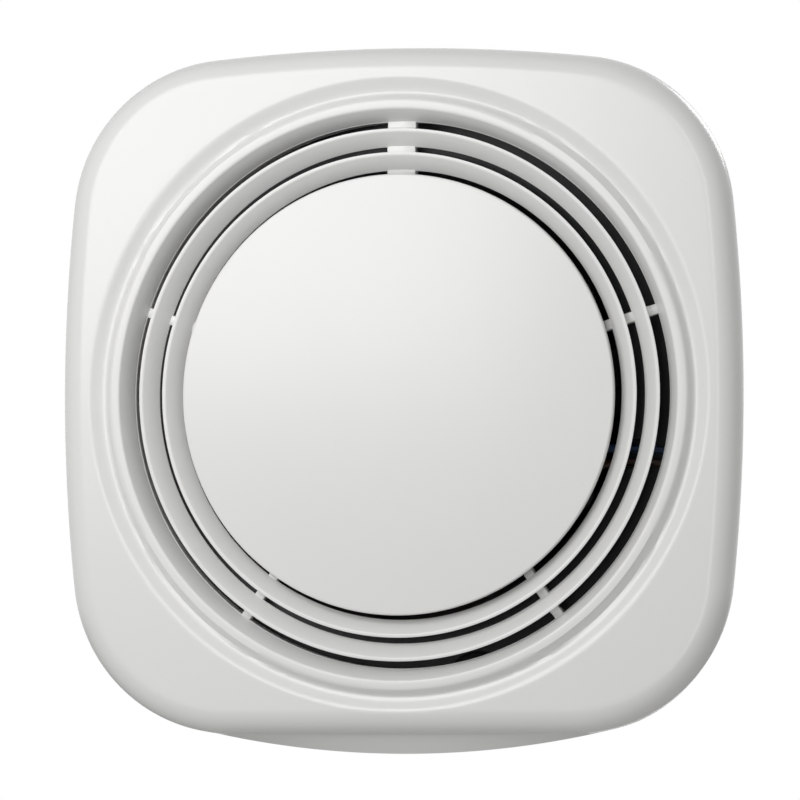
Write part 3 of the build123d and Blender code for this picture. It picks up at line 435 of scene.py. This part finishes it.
# each spring is seven close turns of 0.6 mm wire round the pin and a straight leg on its flap
pin_y, leg_y, coil_radius, spring_wire = 78.0, 77.8, 1.45, 0.29
spring_pitch, spring_turns, turn_steps = 0.6, 7, 20
first_turn_rise, leg_rise = 0.3, 4.6
for name, side, start in (("right_flap_spring", 1, 14.0), ("left_flap_spring", -1, -19.0)):
    path = []
    for k in range(spring_turns * turn_steps + 1):
        a = -2 * pi * k / turn_steps
        z = start + first_turn_rise + spring_pitch * k / turn_steps
        path.append(Vector((side * coil_radius * cos(a), pin_y + coil_radius * sin(a), z)))
    for x, y in ((1.9, leg_y + 0.06), (2.5, leg_y), (6.0, leg_y), (10.2, leg_y)):
        path.append(Vector((side * x, y, start + leg_rise)))
    coil = bmesh.new()
    wire(coil, path, spring_wire, Vector((0, 0, 1)))
    make_piece(name + "_wire", to_mesh(coil), spring_steel, "spring_steel", "housing", name)

# ---------------------------------------------------------------------------------- louvre grille
# One moulding in white gloss ABS: a rim, two conical rings that hide the inside, and a hub ring, on
# five spokes; the top spoke is wider. Four screws hold its ears to the cover.

# white ABS from a polished tool: almost smooth, with a clear soft gloss
white_abs = plastic("white ABS, gloss moulded", "#f1f1ef", "#eeeeec", 0.24, 1.4, 0.003)


def turn(shape, profile, steps=240):
    """Turn a closed profile of (radius, y) points about the fan axis; gives the new vertices."""
    rows = []
    for k in range(steps):
        a = 2 * pi * k / steps
        rows.append([shape.verts.new((r * cos(a), y, r * sin(a))) for r, y in profile])
    for row, after in zip(rows, rows[1:] + rows[:1]):
        for i in range(len(profile)):
            j = (i + 1) % len(profile)
            if profile[i][0] == 0 and profile[j][0] == 0:
                continue
            shape.faces.new((row[i], row[j], after[j], after[i]))
    return [v for row in rows for v in row]


def round_corners(points, radius, steps=4):
    """Closed polygon with each corner replaced by a short curve that leaves its sides at radius."""
    rounded = []
    for before, here, after in zip(points[-1:] + points[:-1], points, points[1:] + points[:1]):
        if here[0] == 0:
            rounded.append(here)
            continue
        here_v = Vector(here)
        into, out = Vector(before) - here_v, Vector(after) - here_v
        cut = min(radius, 0.45 * into.length, 0.45 * out.length)
        start, end = here_v + into.normalized() * cut, here_v + out.normalized() * cut
        for k in range(steps + 1):
            t = k / steps
            p = start * (1 - t) ** 2 + here_v * 2 * t * (1 - t) + end * t**2
            rounded.append((p.x, p.y))
    return rounded


def block(shape, low, high, angle=0.0, bevel=0.3):
    """Box with rounded edges between two corners, then turned about the fan axis by angle (degrees)."""
    made = bmesh.ops.create_cube(shape, size=1.0)
    size = [h - l for l, h in zip(low, high)]
    middle = [(h + l) / 2 for l, h in zip(low, high)]
    bmesh.ops.scale(shape, vec=size, verts=made["verts"])
    bmesh.ops.translate(shape, vec=middle, verts=made["verts"])
    bmesh.ops.rotate(
        shape, cent=(0, 0, 0), matrix=Matrix.Rotation(radians(-angle), 3, "Y"), verts=made["verts"]
    )
    edges = list(dict.fromkeys(e for v in made["verts"] for e in v.link_edges))
    bmesh.ops.bevel(shape, geom=edges, offset=bevel, segments=2, affect="EDGES", profile=0.5)


def rod(shape, x, z, front_y, back_y, radius, soft=0.2, steps=28):
    """Round peg along the fan axis with softened rims."""
    profile = round_corners(
        [(0, front_y), (radius, front_y), (radius, back_y), (0, back_y)], soft, steps=2
    )
    bmesh.ops.translate(shape, vec=(x, 0, z), verts=turn(shape, profile, steps))


def spots(angles, radius):
    """Points at these angles (degrees) and radius, as (x, z)."""
    return [(radius * cos(radians(a)), radius * sin(radians(a))) for a in angles]


ring_front_y, ring_back_y, ring_land, soft_edge = -18.4, -15.2, 0.9, 0.3
collar_y, grille_back_y, spoke_back_y = -15.0, -9.5, -12.2
rim_outer, rim_inner, rim_front_y = 64.2, 61.2, collar_y + 0.1
hub_outer, hub_inner, hub_front_y = 45, 31, -14.2
grille = bmesh.new()
for front_radius, back_radius in ((54.5, 50.2), (59.8, 55.5)):
    cone = [
        (front_radius, ring_front_y),
        (front_radius - ring_land, ring_front_y),
        (back_radius, ring_back_y),
        (back_radius + ring_land + 0.1, ring_back_y),
    ]
    turn(grille, round_corners(cone, soft_edge))
rim = [
    (rim_outer, rim_front_y),
    (rim_inner, rim_front_y),
    (rim_inner, grille_back_y),
    (rim_outer, grille_back_y),
]
turn(grille, round_corners(rim, soft_edge))
hub = [
    (hub_outer, hub_front_y),
    (hub_inner, hub_front_y),
    (hub_inner, spoke_back_y),
    (hub_outer, spoke_back_y),
]
turn(grille, round_corners(hub, soft_edge))

# each spoke is a low bar from hub to rim with a taller one in it that carries the rings; their
# sides share a plane, but spokes and ears end just under the faces of the rim and hub they run into
under = 0.03
top_spoke, half_top_spoke, half_spoke = 90, 3.25, 1.15
for angle in (18, 162, 234, 306, top_spoke):
    half = half_top_spoke if angle == top_spoke else half_spoke
    block(grille, (43.5, -14.9, -half), (61.8, spoke_back_y - under, half), angle)
    block(grille, (49.0, -15.5, -half), (60.0, spoke_back_y - 0.2, half), angle)
ear_angles, ear_at, ear_radius, ear_thickness = (65, 155, 245, 335), 70.5, 4.0, 2.0
for angle in ear_angles:
    low_y, high_y = grille_back_y - ear_thickness + under, grille_back_y - under
    block(grille, (62.5, low_y, under - ear_radius), (ear_at, high_y, ear_radius - under), angle, 0.2)
for x, z in spots(ear_angles, ear_at):
    rod(grille, x, z, grille_back_y - ear_thickness, grille_back_y, ear_radius)
make_piece("louvre_grille_moulding", to_mesh(grille), white_abs, "cover_white", "cover", "louvre_grille")
finish_cad(zinc_plate, "screw_steel", "grille_screws")

# ---------------------------------------------------------------------------------- centre disc
# A flat cap in the same white ABS, moulded, that hides the motor. Five shouldered pegs on its back
# press into the hub ring of the grille and hold it 2 mm off the rings.
disc_radius, disc_front_y, disc_back_y = 49.4, -19.6, -17.6
peg_angles, pegs_at, shoulder_radius, peg_radius = (54, 126, 198, 270, 342), 41.0, 2.6, 1.2
disc = bmesh.new()
face = [(0, disc_front_y), (disc_radius, disc_front_y), (disc_radius, disc_back_y), (0, disc_back_y)]
turn(disc, round_corners(face, 0.5, steps=6))
for x, z in spots(peg_angles, pegs_at):
    rod(disc, x, z, disc_back_y - 0.5, spoke_back_y - 2.1, shoulder_radius)
    rod(disc, x, z, spoke_back_y - 2.5, spoke_back_y + 0.4, peg_radius)
make_piece("centre_disc_cap", to_mesh(disc), white_abs, "cover_white", "cover", "centre_disc")

# ---------------------------------------------------------------------------------- front cover
# A bowed square shell in white gloss ABS. A narrow lip stands round its opening, with a shallow
# valley outside it; the flanks are drafted, and more so in the middle of the underside.
half_side, bow_radius, corner_radius = 77.8, 410.0, 36.2
lip_y, plateau_y, widest_y, back_y = -20.0, -19.4, -14.0, -9.6
lip_outer, valley_at, valley_end, valley_depth = 65.9, 67.6, 71.4, 1.3
rounding, flank_lean, wall = 5.4, 1.0, 2.0
crease_z, ledge_z, hollow_z = 75.8, 80.3, 74.0
ledge_reach, ledge_blend = radians(36), radians(20)


def outline(angle, inset, foot=None):
    """Distance from the axis to the cover's outline, moved in by inset, in this direction (radians).

    foot is how far down the middle of the underside reaches, if not as far as the other sides.
    """
    bow, corner, half = bow_radius - inset, corner_radius - inset, half_side - inset
    drop = bow - half
    centre = (sqrt(2 * (bow - corner) ** 2 - drop**2) - drop) / 2
    off = (angle + pi / 2 + pi) % (2 * pi) - pi
    if foot and abs(off) < pi / 4:
        gap = foot - centre
        bow = (corner**2 - centre**2 - gap**2) / (2 * (corner - gap))
        drop = bow - foot
        side = abs(off)
        joint_along = centre * bow / (bow - corner)
        joint_out = centre + corner * (bow - gap) / (bow - corner)
    else:
        side = angle % (pi / 2)
        side = min(side, pi / 2 - side)
        joint_along = centre * bow / (bow - corner)
        joint_out = centre + corner * (centre + drop) / (bow - corner)
    if sin(side) * joint_out <= cos(side) * joint_along:
        return sqrt(bow**2 - (drop * sin(side)) ** 2) - drop * cos(side)
    along = centre * (cos(side) + sin(side))
    return along + sqrt(along**2 - 2 * centre**2 + corner**2)


def valley(r):
    """Depth of the face behind the plateau at this radius; negative on the lip."""
    if r >= valley_end:
        return 0.0
    if r >= valley_at:
        return valley_depth * (1 + cos(pi * (r - valley_at) / (valley_end - valley_at))) / 2
    t = min(1.0, (valley_at - r) / (valley_at - lip_outer))
    return valley_depth - (valley_depth + plateau_y - lip_y) * t * t * (3 - 2 * t)


def cover_section(angle):
    """Closed section of the shell in this direction: (radius, y) points from the collar outwards."""
    # collar wall and lip
    points = [(61.4, collar_y), (63.85, lip_y + 0.28), (64.05, lip_y + 0.06), (64.35, lip_y)]
    points += [(65.3, lip_y)]
    # valley and plateau, then the rounded edge
    crease = outline(angle, 0, crease_z)
    start = outline(angle, rounding, crease_z - rounding)
    for k in range(27):
        r = lip_outer + (start - lip_outer) * k / 26
        points.append((r, plateau_y + valley(r)))
    for k in range(1, 15):
        t = pi / 2 * k / 14
        r = start + (crease - start) * sin(t)
        points.append((r, plateau_y + valley(r) + (widest_y - plateau_y) * (1 - cos(t))))
    # the flank leans in on its way back, but not over the finger ledge in the middle of the underside
    off = abs((angle + pi / 2 + pi) % (2 * pi) - pi)
    lean = flank_lean * min(1.0, max(0.0, (off - ledge_reach) / ledge_blend))
    ledge = outline(angle, lean, ledge_z)
    # flank, back edge and the inside of the shell back to the collar
    points += [(crease + (ledge - crease) * 0.08, widest_y + 0.3)]
    points += [(ledge - 0.02, back_y - 0.35), (ledge - 0.3, back_y)]
    inner = outline(angle, flank_lean + wall, hollow_z)
    points += [(inner + 0.25, back_y), (inner, back_y - 0.25)]
    points += [(inner, -16.6), (inner - 0.8, -17.3), (inner - 2.5, -17.4)]
    points += [(69.8, -17.0), (66.4, -16.2), (65.8, -15.9), (65.8, -11.6), (64.4, -11.6)]
    points += [(64.4, collar_y + 0.3), (63.9, collar_y + 0.15), (61.9, collar_y + 0.15)]
    return points


cover = bmesh.new()
directions = 360
rows = []
for k in range(directions):
    a = 2 * pi * k / directions
    rows.append([cover.verts.new((r * cos(a), y, r * sin(a))) for r, y in cover_section(a)])
for row, after in zip(rows, rows[1:] + rows[:1]):
    for i in range(len(row)):
        j = (i + 1) % len(row)
        cover.faces.new((row[i], row[j], after[j], after[i]))
# four pegs push into the tray's sockets, and four bosses take the grille's screws
post_front_y, skirt_back_y = -17.8, -11.6
socket_peg_angles, socket_pegs_at, socket_peg_radius, socket_peg_end_y = (0, 90, 180, 270), 69.5, 2.4, -4.0
boss_radius = 3.0
for x, z in spots(socket_peg_angles, socket_pegs_at):
    rod(cover, x, z, post_front_y, socket_peg_end_y, socket_peg_radius)
for x, z in spots(ear_angles, ear_at):
    rod(cover, x, z, post_front_y, skirt_back_y, boss_radius)
make_piece("front_cover_shell", to_mesh(cover, 40), white_abs, "cover_white", "cover", "front_cover")

# ---------------------------------------------------------------------------------- stage
# A pale painted floor lies well below the fan, soft lamps stand to the upper left, in front and
# behind, and the room around is white to look at but only a soft fill of light on the fan.
floor_mesh = bpy.data.meshes.new("floor")
reach, floor_z = 6.0, cad_low.z - 1.2
corners = [(x * reach, y * reach, floor_z) for x, y in ((-1, -1), (1, -1), (1, 1), (-1, 1))]
floor_mesh.from_pydata(corners, [], [(0, 1, 2, 3)])
floor = bpy.data.objects.new("floor", floor_mesh)
bpy.context.scene.collection.objects.link(floor)
# pale matt paint; a glow towards the camera alone keeps it pale, with the shadow still on it
pale, pale_tree = new_material("pale painted floor")
sight = add_node(pale_tree, "ShaderNodeLightPath")
glow = add_node(
    pale_tree, "ShaderNodeMath", {0: sight.outputs["Is Camera Ray"], 1: 0.45}, operation="MULTIPLY"
)
pale_shader = add_node(
    pale_tree,
    "ShaderNodeBsdfPrincipled",
    {
        "Base Color": srgb("#f4f4f2"),
        "Roughness": 0.8,
        "Emission Color": srgb("#ffffff"),
        "Emission Strength": glow.outputs[0],
    },
)
add_node(pale_tree, "ShaderNodeOutputMaterial", {"Surface": pale_shader.outputs["BSDF"]})
floor_mesh.materials.append(pale)

world = bpy.data.worlds.new("soft white room")
world.use_nodes = True
bpy.context.scene.world = world
sky = world.node_tree
sky.nodes.clear()
ray = add_node(sky, "ShaderNodeLightPath")
seen = ray.outputs["Is Camera Ray"]
for kind in ("Is Transmission Ray", "Is Glossy Ray"):
    either = add_node(sky, "ShaderNodeMath", {0: seen, 1: ray.outputs[kind]}, operation="MAXIMUM")
    seen = either.outputs[0]
fill = add_node(sky, "ShaderNodeBackground", {"Color": srgb("#ffffff"), "Strength": 0.31})
white = add_node(sky, "ShaderNodeBackground", {"Color": srgb("#ffffff"), "Strength": 1.0})
both = add_node(sky, "ShaderNodeMixShader", {0: seen, 1: fill.outputs[0], 2: white.outputs[0]})
add_node(sky, "ShaderNodeOutputWorld", {"Surface": both.outputs[0]})


def lamp(name, place, aim, width, height, power):
    """Rectangular area lamp of this width and height (m) at a place, turned towards a point."""
    light = bpy.data.lights.new(name, "AREA")
    light.shape = "RECTANGLE"
    light.size, light.size_y = width, height
    light.energy = power
    holder = bpy.data.objects.new(name, light)
    holder.visible_camera = False
    holder.location = place
    holder.rotation_mode = "QUATERNION"
    holder.rotation_quaternion = (Vector(aim) - Vector(place)).to_track_quat("-Z", "Y")
    bpy.context.scene.collection.objects.link(holder)


lamp("key", (-0.13, -0.36, 0.12), (-0.01, -0.02, 0.01), 0.22, 0.22, 0.68)
lamp("strip", (0.14, -1.5, 0.1), (0, -0.02, 0), 0.14, 1.0, 1.8)
lamp("back", (0.7, 1.1, 0.8), (0, 0.03, 0), 0.7, 0.7, 8.0)

# ---------------------------------------------------------------------------------- camera
# It stands in the room, a little to the right of the fan and below it, and so far back that the
# fan's sides hardly draw together.
azimuth, elevation, distance = radians(12.6), radians(-1.8), 3.0
sensor, view_width = 36.0, 0.1791312
camera_data = bpy.data.cameras.new("camera")
camera_data.sensor_width = sensor
camera_data.lens = sensor * distance / view_width
camera = bpy.data.objects.new("camera", camera_data)
bpy.context.scene.collection.objects.link(camera)
bpy.context.scene.camera = camera
aim = Vector((-0.0004, -0.015, -0.0011))
away = Vector((sin(azimuth) * cos(elevation), -cos(azimuth) * cos(elevation), sin(elevation)))
camera.location = aim + away * distance
camera.rotation_mode = "QUATERNION"
camera.rotation_quaternion = (-away).to_track_quat("-Z", "Y")

bpy.context.scene.view_settings.view_transform = "Standard"
